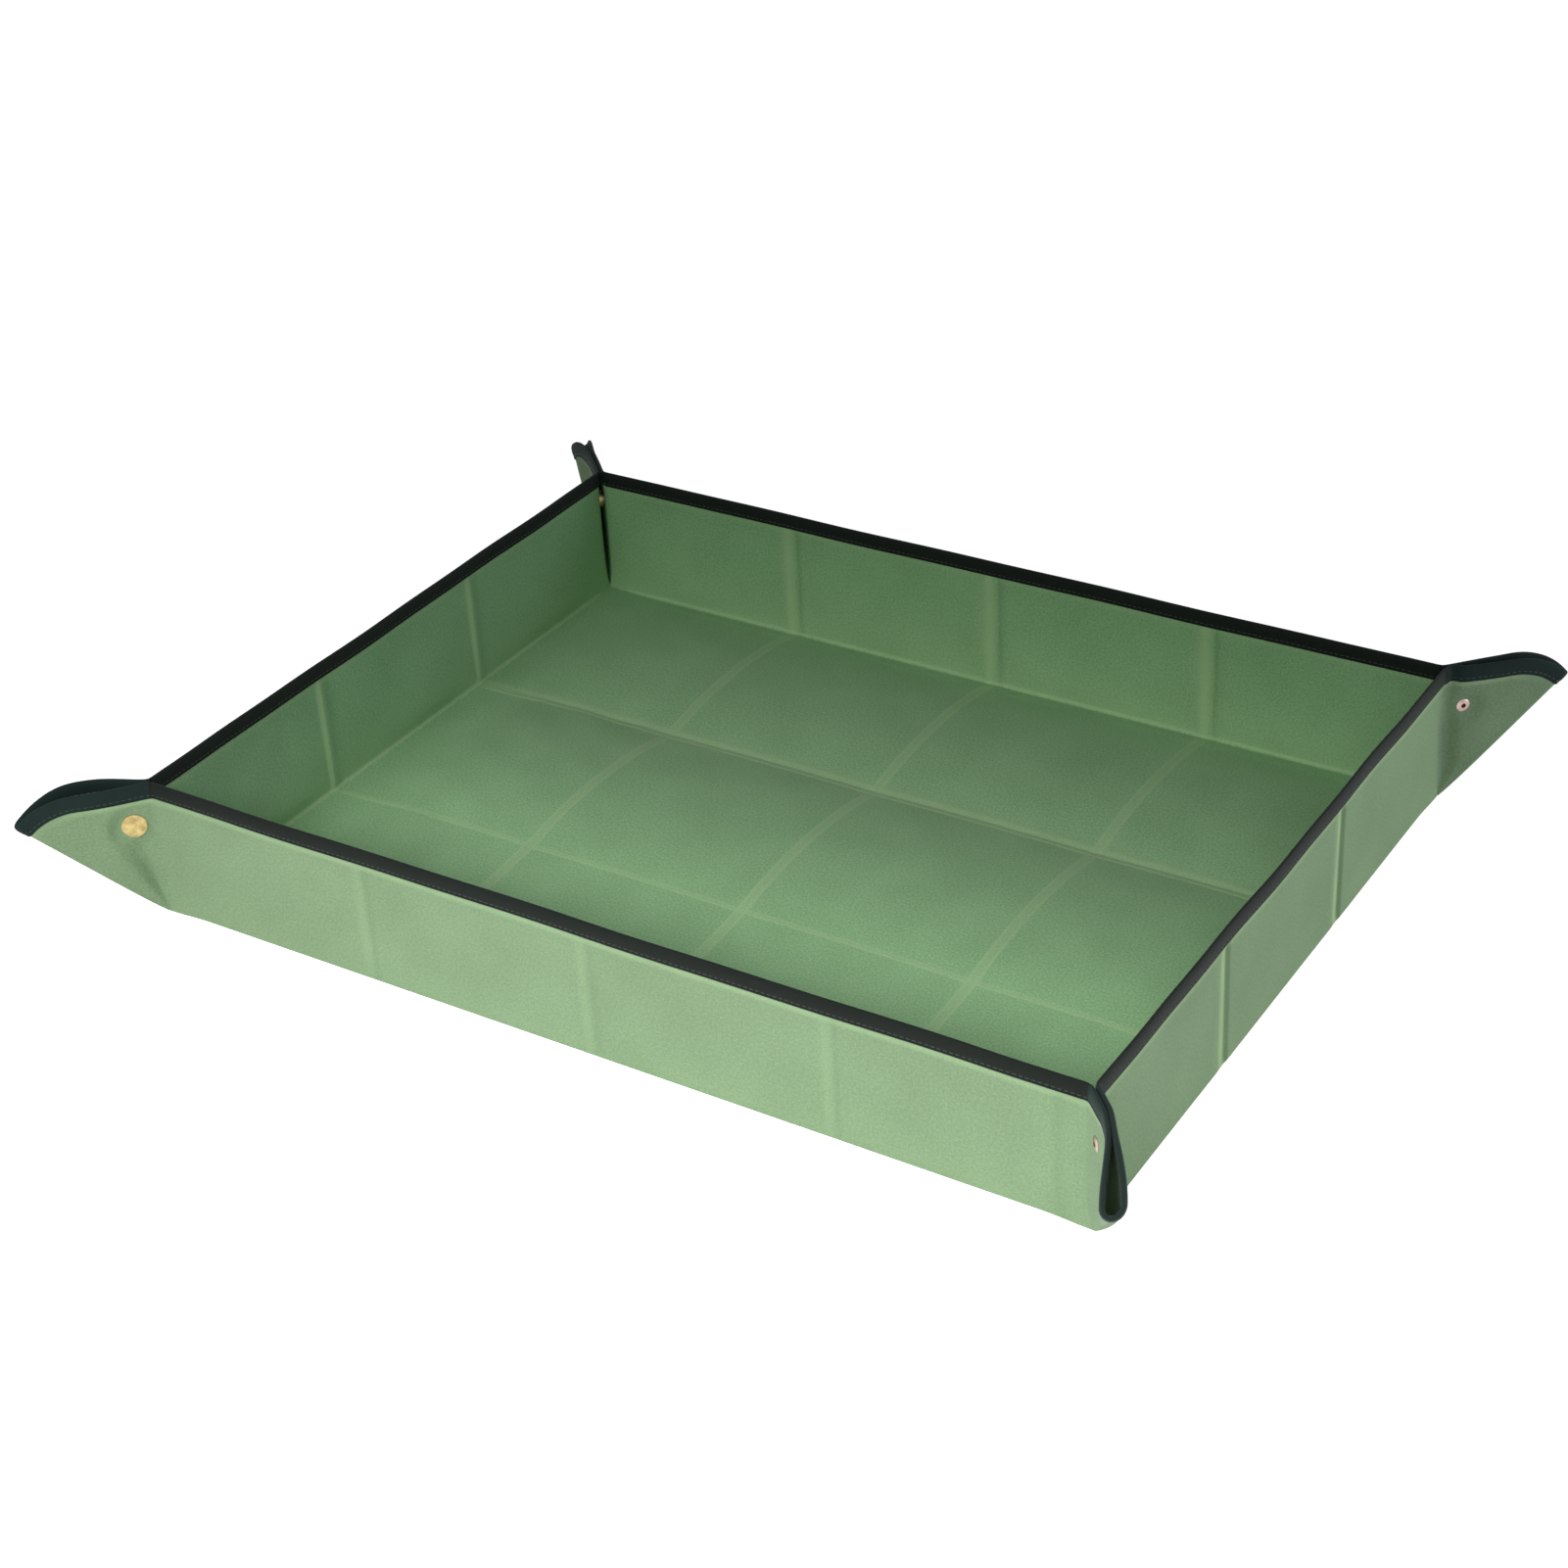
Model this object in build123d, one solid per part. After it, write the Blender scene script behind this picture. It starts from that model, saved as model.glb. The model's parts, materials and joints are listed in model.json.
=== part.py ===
from build123d import *
from math import asin, degrees, radians, cos, sin, sqrt
import os

# Driving dimensions, in millimetres. The sheet stands on z = 0 and is centred on the z axis.
# The floor is a grid of square panels between the storage creases.
PANELS_LONG = 4
PANELS_WIDE = 3
PANEL_SIDE = 155.0
WALL_HEIGHT = 92.0
CORNER_RADIUS = 50.0

# Coated cloth and its storage creases, which stand up as low ridges on the upper face.
SHEET = 1.0
CREASE_RISE = 0.8
CREASE_WIDTH = 6.0
CREASE_END = 8.0

# Tape folded over the edge of the sheet.
BINDING_WIDTH = 10.0
BINDING_LEAF = 0.8

# Press stud: where it sits on the ear, from the corner line and from the top of the wall.
STUD_FROM_CORNER = 14.0
STUD_FROM_TOP = 27.0

# Cap on the outer face of one ear half, with its post clinched inside the socket.
CAP_DIAMETER = 15.0
CAP_HEIGHT = 2.2
CAP_EDGE = 0.6
POST_DIAMETER = 4.0
CLINCH_LIP = 0.6
CLINCH_THICKNESS = 0.25

# Socket on the inner face of the same half.
SOCKET_DIAMETER = 12.5
SOCKET_HEIGHT = 3.2
SOCKET_WEB = 0.8
SOCKET_CAVITY = 6.5

# Stud on the inner face of the facing half, held by an eyelet ring on its outer face.
STUD_DIAMETER = 11.0
STUD_FLANGE = 1.0
EYELET_DIAMETER = 8.5
EYELET_HEIGHT = 1.0
EYELET_EDGE = 0.35
EYELET_BORE = 3.0

# Clearances: at the creases that act as hinges, along the closed fold of an ear, in the rivet holes,
# and inside the closed stud.
HINGE_GAP = 0.1
FOLD_GAP = 0.2
RIVET_FIT = 0.1
STUD_PLAY = 0.25
STUD_SEAT_GAP = 0.2

# Where the closed fold of an ear begins, measured along the ear from the corner line.
FOLD_START = 10.0

# Sizes that follow from those above.
ROOT2 = sqrt(2)
BASE_LENGTH = PANELS_LONG * PANEL_SIDE
BASE_WIDTH = PANELS_WIDE * PANEL_SIDE
HALF = SHEET / 2
TAPE_HALF = HALF + BINDING_LEAF
HINGE_OUT = HALF + HINGE_GAP
LAYER_GAP = SOCKET_HEIGHT + STUD_FLANGE + STUD_SEAT_GAP
EAR_OFFSET = (LAYER_GAP + SHEET) / 2
CORNER_SETBACK = EAR_OFFSET * ROOT2
SHEET_TOP = WALL_HEIGHT - BINDING_LEAF - HALF
FOLD_RADIUS = EAR_OFFSET - FOLD_GAP
FOLD_SETBACK = TAPE_HALF + FOLD_GAP
FOLD_RISE = ROOT2 * FOLD_SETBACK
ARC_U = SHEET_TOP - CORNER_RADIUS + CORNER_SETBACK
ARC_V = SHEET_TOP - CORNER_RADIUS
RIVET_HOLE = POST_DIAMETER + 2 * RIVET_FIT
NUB_DIAMETER = SOCKET_CAVITY - 2 * STUD_PLAY
NUB_HEIGHT = SOCKET_HEIGHT + STUD_SEAT_GAP - SOCKET_WEB - CLINCH_THICKNESS - STUD_PLAY

WALLS = ("front", "right", "back", "left")
CORNERS = {"front_left": (-1, -1), "front_right": (1, -1), "back_right": (1, 1), "back_left": (-1, 1)}


def crease_ridge(length):
    """One low ridge along x, lying on z = 0."""
    half_width = CREASE_WIDTH / 2
    profile = Plane.YZ * Polygon((-half_width, 0), (half_width, 0), (0, CREASE_RISE), align=None)
    return extrude(profile, length / 2, both=True)


def crease_places(count):
    """Places of the creases along a side of that many panels."""
    return [(i - count / 2) * PANEL_SIDE for i in range(1, count)]


def floor_panel():
    """Flat middle of the sheet, with the grid of storage creases."""
    floor = Pos(0, 0, HALF) * Box(BASE_LENGTH, BASE_WIDTH, SHEET)
    lengthwise = crease_ridge(BASE_LENGTH - 2 * CREASE_END)
    crosswise = Rot(0, 0, 90) * crease_ridge(BASE_WIDTH - 2 * CREASE_END)
    for y in crease_places(PANELS_WIDE):
        floor += Pos(0, y, SHEET) * lengthwise
    for x in crease_places(PANELS_LONG):
        floor += Pos(x, 0, SHEET) * crosswise
    return floor


def wall_frame(wall):
    """Frame on a wall's base crease: x along the wall to its right seen from outside, y up, z outward."""
    half_length = BASE_LENGTH / 2 + HINGE_OUT
    half_width = BASE_WIDTH / 2 + HINGE_OUT
    outward = {"front": (0, -1, 0), "right": (1, 0, 0), "back": (0, 1, 0), "left": (-1, 0, 0)}[wall]
    origin = (outward[0] * half_length, outward[1] * half_width, HALF)
    return Plane(origin=origin, x_dir=(-outward[1], outward[0], 0), z_dir=outward)


def wall_half_span(wall):
    """Half the length of a wall, up to the hinge gap before its ears."""
    base = BASE_LENGTH if wall in ("front", "back") else BASE_WIDTH
    return base / 2 + HINGE_OUT - CORNER_SETBACK - HINGE_OUT


def wall_panel(wall):
    """Upright strip of the sheet, with a round lower edge that turns on the base crease."""
    span = wall_half_span(wall)
    upright = Pos(0, SHEET_TOP / 2, 0) * Box(2 * span, SHEET_TOP, SHEET)
    edge = Rot(0, 90, 0) * Cylinder(HALF, 2 * span)
    panel = upright + edge
    ridge_length = SHEET_TOP - BINDING_WIDTH - 2 * CREASE_END
    ridge = Rot(0, 0, 90) * Rot(180, 0, 0) * crease_ridge(ridge_length)
    middle = CREASE_END + ridge_length / 2
    for x in crease_places(PANELS_LONG if wall in ("front", "back") else PANELS_WIDE):
        panel += Pos(x, middle, -HALF) * ridge
    return wall_frame(wall) * panel


def wall_binding(wall):
    """Tape folded over the top edge of a wall."""
    span = wall_half_span(wall)
    bottom = SHEET_TOP - BINDING_WIDTH
    top = SHEET_TOP + BINDING_LEAF
    tape = Pos(0, (bottom + top) / 2, 0) * Box(2 * span, top - bottom, 2 * TAPE_HALF)
    slot = Pos(0, (bottom + SHEET_TOP) / 2, 0) * Box(2 * span, SHEET_TOP - bottom, SHEET)
    return wall_frame(wall) * (tape - slot)


def ear_frame(corner, wall):
    """Frame on an ear half's corner line: x out along the ear, y up, z square to the ear."""
    sx, sy = CORNERS[corner]
    setback_x, setback_y = (CORNER_SETBACK, 0) if wall in ("front", "back") else (0, CORNER_SETBACK)
    x = sx * (BASE_LENGTH / 2 + HINGE_OUT - setback_x)
    y = sy * (BASE_WIDTH / 2 + HINGE_OUT - setback_y)
    return Plane(origin=(x, y, HALF), x_dir=(sx, sy, 0), z_dir=(sy, -sx, 0))


def fold_angle(radius):
    """Angle, about the rounded corner's centre, at which an arc of that radius meets the fold."""
    return 45 + degrees(asin((FOLD_SETBACK + EAR_OFFSET) / radius))


def fold_point(radius):
    """Point of the fold edge on an arc of that radius about the rounded corner's centre."""
    angle = radians(fold_angle(radius))
    return (ARC_U + radius * cos(angle), ARC_V + radius * sin(angle))


def fold_lip(start_u, end_u, thickness, side):
    """Quarter-round lip along the fold edge, turning in to the middle of the ear."""
    outer = FOLD_RADIUS + thickness / 2
    ring = Circle(outer) - Circle(FOLD_RADIUS - thickness / 2)
    quarter = ring & (Pos(outer / 2, side * outer / 2) * Rectangle(outer, outer))
    start = (start_u, start_u + FOLD_RISE, side * FOLD_RADIUS)
    section_frame = Plane(origin=start, x_dir=(1, -1, 0), z_dir=(1, 1, 0))
    return extrude(section_frame * quarter, (end_u - start_u) * ROOT2)


def ear_panel(side):
    """Folded corner of the sheet on one side of the ear, with the stud's hole."""
    fold_u, fold_v = fold_point(CORNER_RADIUS)
    end_angle = fold_angle(CORNER_RADIUS)
    outline = make_face([
        Line((0, FOLD_RISE), (0, SHEET_TOP)),
        Line((0, SHEET_TOP), (ARC_U, SHEET_TOP)),
        CenterArc((ARC_U, ARC_V), CORNER_RADIUS, 90, end_angle - 90),
        Line((fold_u, fold_v), (0, FOLD_RISE)),
    ])
    flat = extrude(outline, HALF, both=True)
    edge_length = SHEET_TOP - FOLD_RISE
    edge = Pos(0, FOLD_RISE + edge_length / 2, 0) * Rot(90, 0, 0) * Cylinder(HALF, edge_length)
    hole = stud_place() * Cylinder(RIVET_HOLE / 2, 2 * SHEET)
    return flat + edge + fold_lip(FOLD_START, fold_u, SHEET, side) - hole


def ear_binding(side):
    """Tape folded over the top edge and the rounded corner of an ear half."""
    outer = CORNER_RADIUS + BINDING_LEAF
    inner = CORNER_RADIUS - BINDING_WIDTH
    top = SHEET_TOP + BINDING_LEAF
    bottom = SHEET_TOP - BINDING_WIDTH
    outer_point = fold_point(outer)
    inner_point = fold_point(inner)
    outline = make_face([
        Line((HINGE_OUT, bottom), (HINGE_OUT, top)),
        Line((HINGE_OUT, top), (ARC_U, top)),
        CenterArc((ARC_U, ARC_V), outer, 90, fold_angle(outer) - 90),
        Line(outer_point, inner_point),
        CenterArc((ARC_U, ARC_V), inner, fold_angle(inner), 90 - fold_angle(inner)),
        Line((ARC_U, bottom), (HINGE_OUT, bottom)),
    ])
    tape = extrude(outline, TAPE_HALF, both=True)
    tape += fold_lip(inner_point[0], outer_point[0], 2 * TAPE_HALF, side)
    return tape - ear_panel(side)


def stud_place():
    """Centre of the press stud in an ear half's frame."""
    return Pos(STUD_FROM_CORNER, WALL_HEIGHT - HALF - STUD_FROM_TOP, 0)


def turned(*edges):
    """Solid of revolution about z from a closed profile of radius and height."""
    return revolve(Plane.XZ * make_face(edges), Axis.Z)


def profile_lines(*points):
    """Straight edges from point to point."""
    return [Line(a, b) for a, b in zip(points, points[1:])]


def stud_cap():
    """Domed cap on the outer face, whose post passes the sheet and is clinched in the socket."""
    radius = CAP_DIAMETER / 2
    post = POST_DIAMETER / 2
    clinch = post + CLINCH_LIP
    seat = HALF + SOCKET_WEB
    end = seat + CLINCH_THICKNESS
    crown = -HALF - CAP_HEIGHT
    shoulder = (radius, -HALF - CAP_EDGE)
    under_cap = [shoulder, (radius, -HALF), (post, -HALF), (post, seat)]
    clinched_end = [(clinch, seat), (clinch, end), (0, end), (0, crown)]
    lines = profile_lines(*under_cap, *clinched_end)
    dome = TangentArc((0, crown), shoulder, tangent=(1, 0))
    return stud_place() * turned(dome, *lines)


def stud_socket():
    """Round socket on the inner face, open towards the facing half."""
    radius = SOCKET_DIAMETER / 2
    cavity = SOCKET_CAVITY / 2
    hole = RIVET_HOLE / 2
    web = HALF + SOCKET_WEB
    rim = HALF + SOCKET_HEIGHT
    outside = [(hole, HALF), (radius, HALF), (radius, rim)]
    inside = [(cavity, rim), (cavity, web), (hole, web), (hole, HALF)]
    return stud_place() * turned(*profile_lines(*outside, *inside))


def stud_nub():
    """Stud on the inner face: a round flange with a hollow nub that enters the socket."""
    radius = STUD_DIAMETER / 2
    nub = NUB_DIAMETER / 2
    hole = RIVET_HOLE / 2
    flange = -HALF - STUD_FLANGE
    tip = flange - NUB_HEIGHT
    outside = [(hole, -HALF), (radius, -HALF), (radius, flange), (nub, flange)]
    inside = [(nub, tip), (hole, tip), (hole, -HALF)]
    return stud_place() * turned(*profile_lines(*outside, *inside))


def stud_eyelet():
    """Eyelet ring on the outer face, whose tube passes the sheet into the stud."""
    radius = EYELET_DIAMETER / 2
    tube = POST_DIAMETER / 2
    bore = EYELET_BORE / 2
    crown = (bore, HALF + EYELET_HEIGHT)
    shoulder = (radius, HALF + EYELET_EDGE)
    tube_end = -HALF - STUD_FLANGE - NUB_HEIGHT / 2
    lines = profile_lines(shoulder, (radius, HALF), (tube, HALF), (tube, tube_end), (bore, tube_end), crown)
    ring = TangentArc(crown, shoulder, tangent=(1, 0))
    return stud_place() * turned(ring, *lines)


# Every piece by its node name. Each wall carries caps at its left end and eyelets at its right end,
# seen from outside, so the half with side +1 takes the cap and socket, and the other the stud and eyelet.
parts = {"floor_panel": floor_panel()}
for wall in WALLS:
    parts[f"{wall}_wall"] = wall_panel(wall)
    parts[f"{wall}_binding"] = wall_binding(wall)

half_pieces = {
    1: {
        "ear_half": ear_panel(1),
        "ear_binding": ear_binding(1),
        "cap": stud_cap(),
        "socket": stud_socket(),
    },
    -1: {
        "ear_half": ear_panel(-1),
        "ear_binding": ear_binding(-1),
        "stud": stud_nub(),
        "eyelet": stud_eyelet(),
    },
}
for corner, (sx, sy) in CORNERS.items():
    end_wall, side_wall = corner.split("_")
    for wall, side in ((end_wall, sx * sy), (side_wall, -sx * sy)):
        frame = ear_frame(corner, wall)
        for kind, solid in half_pieces[side].items():
            label = f"{corner}_{kind}_{wall}" if kind.startswith("ear") else f"{corner}_{kind}"
            parts[label] = frame * solid

os.makedirs("parts", exist_ok=True)
for name, solid in parts.items():
    export_step(solid, f"parts/{name}.step")
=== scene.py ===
"""Looks of the fold-up potting tray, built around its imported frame. Lengths are in metres."""

import json
import math

import bpy
import numpy as np
from mathutils import Matrix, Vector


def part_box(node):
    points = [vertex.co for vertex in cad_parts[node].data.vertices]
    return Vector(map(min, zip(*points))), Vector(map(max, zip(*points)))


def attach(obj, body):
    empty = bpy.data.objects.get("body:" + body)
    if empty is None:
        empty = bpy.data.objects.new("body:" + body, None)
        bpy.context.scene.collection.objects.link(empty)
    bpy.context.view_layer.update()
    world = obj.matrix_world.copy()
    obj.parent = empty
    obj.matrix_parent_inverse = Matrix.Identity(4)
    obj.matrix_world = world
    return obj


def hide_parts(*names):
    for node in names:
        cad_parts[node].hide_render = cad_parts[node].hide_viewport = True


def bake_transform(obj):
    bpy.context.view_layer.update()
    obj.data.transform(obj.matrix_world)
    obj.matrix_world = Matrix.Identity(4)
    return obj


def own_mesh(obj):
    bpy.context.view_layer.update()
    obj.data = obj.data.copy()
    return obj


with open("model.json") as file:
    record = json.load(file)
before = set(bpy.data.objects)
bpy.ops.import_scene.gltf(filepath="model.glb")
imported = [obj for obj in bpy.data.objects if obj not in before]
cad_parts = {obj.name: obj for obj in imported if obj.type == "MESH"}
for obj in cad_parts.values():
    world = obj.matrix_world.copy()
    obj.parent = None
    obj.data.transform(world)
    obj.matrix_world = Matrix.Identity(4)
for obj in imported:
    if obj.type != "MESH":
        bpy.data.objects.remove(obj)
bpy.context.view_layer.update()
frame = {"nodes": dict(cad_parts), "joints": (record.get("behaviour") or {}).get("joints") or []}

MM = 0.001
ROOT2 = math.sqrt(2)
QUARTER = math.pi / 2
UP = np.array([0.0, 0.0, 1.0])
TINY = 1e-6

# Walls by the way they face, and corners by their signs along x and y.
OUTWARD = {"front": (0, -1), "right": (1, 0), "back": (0, 1), "left": (-1, 0)}
CORNERS = {"front_left": (-1, -1), "front_right": (1, -1), "back_right": (1, 1), "back_left": (-1, 1)}
LONG_WALLS = ("front", "back")

# Sizes that the frame gives, apart from the tape's thickness and the number of panels.
JOINTS = {joint["name"]: joint for joint in frame["joints"]}


def joint_place(name):
    """Point on a joint's axis."""
    return np.array(JOINTS[name]["pos_m"])


TAPE_LEAF = 0.8 * MM
PANELS_LONG = 4
PANELS_WIDE = 3
HALF_LENGTH = joint_place("right_wall_fold")[0]
HALF_WIDTH = joint_place("back_wall_fold")[1]
CREASE_Z = joint_place("front_wall_fold")[2]
CORNER_SETBACK = HALF_LENGTH - joint_place("back_right_ear_back_fold")[0]
EAR_OFFSET = CORNER_SETBACK / ROOT2
SHEET = 2 * CREASE_Z
SHEET_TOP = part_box("front_binding")[1].z - TAPE_LEAF - CREASE_Z
TAPE_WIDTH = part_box("front_binding")[1].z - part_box("front_binding")[0].z - TAPE_LEAF
PANEL = 2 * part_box("floor_panel")[1].x / PANELS_LONG

# Rounded corner of an ear, in the ear's own plane: out from the corner line, and up from the base crease.
ROUND_RADIUS = 50 * MM
ROUND_OUT = SHEET_TOP - ROUND_RADIUS + CORNER_SETBACK
ROUND_UP = SHEET_TOP - ROUND_RADIUS

# Bend from floor to wall: its radius, which closes up towards the corners.
BASE_BEND = 3.0 * MM
BASE_BEND_AT_CORNER = 0.3 * MM
BASE_BEND_TAPER = 30 * MM

# Bend from wall to ear: its radius, which closes up towards the base, and the turn that each of them makes.
# Both draw in to the corner itself, wholly at the base and a little at the rim.
EAR_BEND = 7 * MM
EAR_BEND_TAPER = 15 * MM
HALF_TURN = math.pi / 8
APEX_REACH = 8 * MM
RIM_PINCH = 0.4
PINCH_FROM = 72 * MM
PINCH_OVER = 16 * MM

# Ends of a wall: how much shifts to the corner line, and the lip that laps past that line, a little inside.
END_SHIFT = 40 * MM
CORNER_LIP = 1.2 * MM
CORNER_LIP_INSET = 0.2 * MM
MOST_TURN = 1.25

# Bands of the floor, front to back, arch up between the long creases; the front crease lies a little high.
BAND_ARCH = (0.0, 8.5 * MM, 8.0 * MM)
ARCH_END = 80 * MM
FRONT_LIFT = 3.0 * MM
FRONT_LIFT_RUN = 62 * MM
CROSS_ARCH = 0.8 * MM
CROSS_SIDE = 40 * MM

# Soft ripples of the floor's left panels. Waves: turns along x and along y, and where they start.
RIPPLE = 0.25 * MM
RIPPLE_FROM = 100 * MM
RIPPLE_OVER = 120 * MM
RIPPLE_WAVES = ((70.0, 150.0, 0.4), (150.0, 95.0, 2.1))

# Panels of a wall swell inward between its creases, most near the floor and past their middle.
SWELL_SKEW = 1.8
WALL_SWELL = {"front": 0.5 * MM, "right": 1.5 * MM, "back": 1.2 * MM, "left": 2.0 * MM}
WALL_SWELL_FROM = 12 * MM
WALL_SWELL_OVER = 60 * MM

# Slow waves of the walls' upper edges: size, turns, and the shift from wall to wall.
WALL_WAVES = ((1.0, 7.1, 1.3), (0.6, 15.7, 2.9))
WAVE_HEIGHT = 0.4 * MM
WAVE_END = 80 * MM

# Pressed creases of the floor: half the width of the raised band, its rise, and its paleness, partly wear and
# partly painted highlight.
CROSS_CREASE = (2.8 * MM, 0.15 * MM, 0.8)
LONG_CREASES = ((1.2 * MM, 0.15 * MM, 0.60), (4.5 * MM, 0.25 * MM, 1.0))
LIP_SHARE = 0.4
GROOVE_SHARE = 0.5
BAND_PALENESS = 0.5
CREASE_SOFT = 0.9 * MM
CREASE_FADE = 10 * MM

# Creases of the walls stand inward. Form: rise, half the flat top, and the slopes before and after it.
# Pale and dark: place, width and strength of a pale line, partly wear and partly painted highlight, and of a
# dark line of painted shade.
WALL_CREASES = {
    "front": {
        "form": (0.15 * MM, 5 * MM, 2 * MM, 2 * MM),
        "pale": (0, 4 * MM, 0.15),
        "dark": (6 * MM, 2 * MM, 0.12),
    },
    "right": {
        "form": (1.6 * MM, 0, 10 * MM, 2.8 * MM),
        "pale": (-4.5 * MM, 4 * MM, 0.9),
        "dark": (1.6 * MM, 1.6 * MM, 0.5),
    },
    "back": {
        "form": (0.5 * MM, 5 * MM, 2 * MM, 2 * MM),
        "pale": (1 * MM, 5 * MM, 1.0),
        "dark": (-7 * MM, 1.8 * MM, 0.35),
    },
    "left": {
        "form": (1.0 * MM, 0, 10 * MM, 4 * MM),
        "pale": (1.5 * MM, 3.0 * MM, 0.9),
        "dark": (-5 * MM, 4 * MM, 0.15),
    },
}
WALL_CREASE_FADE = 4 * MM

# A soft fold in the front wall, beside its right end: its form and its dark line of painted shade, as above.
END_FOLD = (1.0 * MM, 0, 5 * MM, 5 * MM)
END_FOLD_PAINTED_SHADE = (0, 2.5 * MM, 0.2)
END_FOLD_FROM_CORNER = 17 * MM

# Pale lines along the base bends, partly wear and partly painted highlight, by climb, and a pale line below
# the binding, as place, width and strength.
BASE_LINE = {"front": 0.15, "right": 0.15, "back": 0.80, "left": 0.80}
BASE_LINE_CLIMB = 0.6
BASE_LINE_WIDTH = 0.5
HEM_LINE = (0.8 * MM, 1.6 * MM, 0.6)

# Grid steps of the sheets and of the binding. Stretches have a start, an end and a count of steps.
STEP = 5 * MM
FINE_STEP = 0.8 * MM
FINE_HALF = 6.4 * MM
END_FINE = 9 * MM
END_STEP = 1.5 * MM
CLIMB_STEPS = ((0, 1, 6), (1, 2, 30))
EAR_STEPS = ((0, 0.12, 6), (0.12, 0.86, 21), (0.86, 1, 11))
EAR_ROWS = 34
TAPE_STEP = 4 * MM
TAPE_END_STEP = 1.4 * MM
TAPE_END_STEPS = 5
EAR_TAPE_STEPS = ((0, 0.12, 5), (0.12, 0.8, 19), (0.8, 1, 11))

# Steps to either side by which directions are measured, for lengths and for shares.
NUDGE = 0.1 * MM
SHARE_NUDGE = 0.002

# Ears: how far the flat part beside the stud reaches, the loop of cloth at the fold, and where the cloth
# starts at the base corner.
FOLD_ANGLE = math.pi / 4
FLAT_ANGLE = math.radians(19)
LOOP_START = 20 * MM
LOOP_SHARE = 0.45
FIRST_RAY = 1.0 * MM
EDGE_ROUNDS = 8

# Each ear's turn past the diagonal in degrees, the growth of its loop outward, and its sway to one side.
EAR_SHAPES = {
    "front_left": {"turn": 1.0, "growth": 0.0, "sway": 0.0},
    "front_right": {"turn": 1.0, "growth": 0.028, "sway": -15.0 * MM},
    "back_right": {"turn": 1.0, "growth": 0.015, "sway": 0.0},
    "back_left": {"turn": 0.6, "growth": 0.028, "sway": 2.0 * MM},
}
SWAY_FROM = 20 * MM
SWAY_OVER = 55 * MM
SWAY_POWER = 1.3

# Halves that bulge outward, and halves pressed in beside the corner line: how deep, wide and far up.
EAR_BULGE = {
    ("front_left", "front"): 3.0 * MM,
    ("front_left", "left"): 10.0 * MM,
    ("back_right", "right"): 3.0 * MM,
    ("back_right", "back"): 1.0 * MM,
}
EAR_DENT = {
    ("front_left", "front"): (4.2 * MM, 32 * MM, 58 * MM),
    ("back_right", "right"): (3.0 * MM, 12 * MM, 120 * MM),
}
BELLY_FROM = 20 * MM
BELLY_OVER = 40 * MM
BELLY_POWER = 1.5
DENT_SHARE = 0.5
DENT_RISE = 25 * MM
DENT_FADE = 14 * MM

# Snaps: place in the ear's plane, flat cloth round them, the half with the eyelet, and the hole under it.
SNAP_OUT = 14 * MM
SNAP_UP = 65 * MM - CREASE_Z
CAP_SEAT = 8.0 * MM
EYELET_SEAT = 5.0 * MM
SEAT_OVER = 7.0 * MM
EYELET_HALF = {"front_left": "left", "front_right": "front", "back_right": "right", "back_left": "back"}
HOLE_RADIUS = 1.9 * MM
HOLE_REACH = 4 * MM
HOLE_SIDES = 24

# Binding: its section from the outer edge over the top, as depth below the sheet's edge and height off its
# middle. Cloth that it covers is as dark as the tape, to a depth with a soft edge.
TAPE_SECTION = [
    (TAPE_WIDTH, 0.60 * MM),
    (TAPE_WIDTH - 0.5 * MM, 1.15 * MM),
    (TAPE_WIDTH - 1.6 * MM, 1.32 * MM),
    (TAPE_WIDTH - 2.6 * MM, 1.10 * MM),
    (TAPE_WIDTH - 3.6 * MM, 1.38 * MM),
    (TAPE_WIDTH / 2, 1.55 * MM),
    (2.6 * MM, 1.55 * MM),
    (0.6 * MM, 1.32 * MM),
    (-0.6 * MM, 0.80 * MM),
]
TAPE_TOP = -0.9 * MM
TAPE_INSIDE = 0.52 * MM
BOUND_DEPTH = 7.5 * MM
BOUND_SOFT = 0.5 * MM

# Stitches: where they lie, their size, and their rings as place along and share of the thickness.
STITCH_DEPTH = TAPE_WIDTH - 2.6 * MM
STITCH_HEIGHT = 1.22 * MM
STITCH_PITCH = 3.6 * MM
STITCH_LENGTH = 2.7 * MM
STITCH_HALF = 0.3 * MM
STITCH_RINGS = ((-1.0, 0.3), (-0.75, 0.8), (0.0, 1.0), (0.75, 0.8), (1.0, 0.3))
STITCH_SIDES = 6
STITCH_SAMPLES = 40

# Edges sharper than this stay sharp.
SHARP_ANGLE = math.radians(35)
ALL_SMOOTH = math.pi

# Colours, darkest first where there are two.
WHITE = (1.0, 1.0, 1.0, 1.0)
# The inside is the coated side, a more saturated green. The step in brightness between the pairs is partly
# painted light: the inside is set paler against the shade inside the tray, the outside darker where the lamps
# fall on it most.
CLOTH_INSIDE = ((0.221, 0.400, 0.194, 1.0), (0.373, 0.632, 0.340, 1.0))
CLOTH_OUTSIDE = ((0.176, 0.268, 0.148, 1.0), (0.266, 0.392, 0.224, 1.0))
# Pale colour of the lines along creases and bends, partly wear and partly painted highlight, and of the line
# below the binding.
CLOTH_WEAR_AND_HIGHLIGHT = (0.460, 0.660, 0.350, 1.0)
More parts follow.
